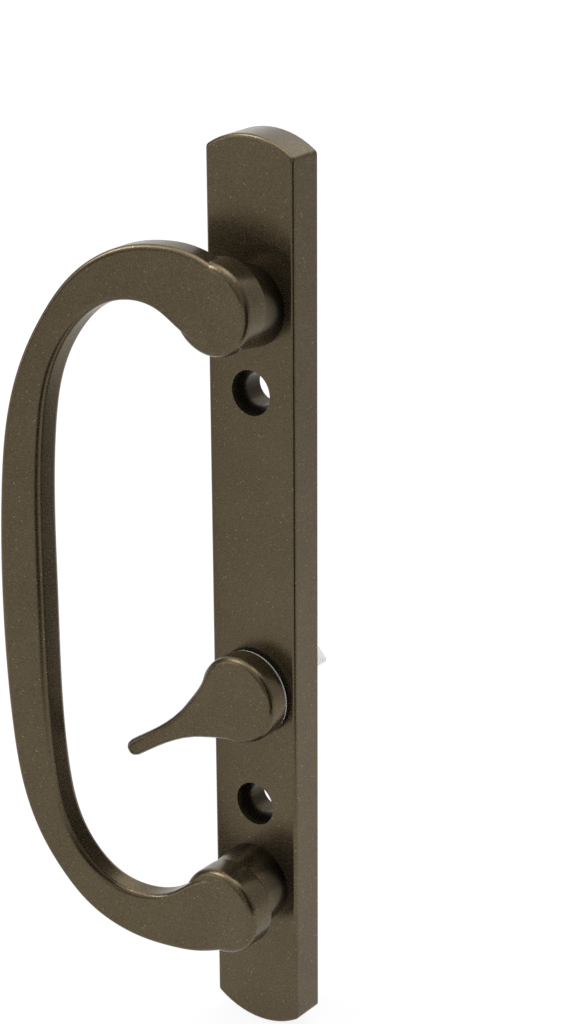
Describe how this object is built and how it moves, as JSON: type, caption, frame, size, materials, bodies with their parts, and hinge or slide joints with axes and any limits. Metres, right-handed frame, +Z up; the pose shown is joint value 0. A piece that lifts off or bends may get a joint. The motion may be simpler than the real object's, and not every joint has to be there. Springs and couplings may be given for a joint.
{
  "type": "sliding patio door handle",
  "caption": "Sliding patio door handle: a long hollow plate carrying a bowed C-shaped pull on posts and a thumb lever whose tail turns the lock.",
  "frame": {"origin": "midway between the door-screw holes, in the plane of the plate's back rim, which lies on the door", "axes": "+X to the right seen from the room, +Y into the door, +Z up along the plate; the pull bows to -X and stands out to -Y"},
  "size_m": [0.0572, 0.0592, 0.2146],
  "materials": {
    "bronze_paint": "satin dark bronze powder coat with fine metallic flake on cast metal",
    "zinc": "bright zinc plate",
    "nylon": "natural white nylon",
    "spring_steel": "oiled spring steel"
  },
  "bodies": {
    "handle": {"back_plate": "bronze_paint", "pull_handle": "bronze_paint", "pull_screws": "zinc", "lever_washer": "nylon", "spring_washer": "spring_steel"},
    "lever": {"thumb_lever": "bronze_paint", "tailpiece": "nylon", "retaining_clip": "spring_steel"}
  },
  "joints": [
    {"name": "lever_turn", "type": "hinge", "parent": "handle", "child": "lever", "pos_m": [0, 0, -0.0213], "axis": [0, 1, 0], "range_deg": [0, 66]}
  ]
}
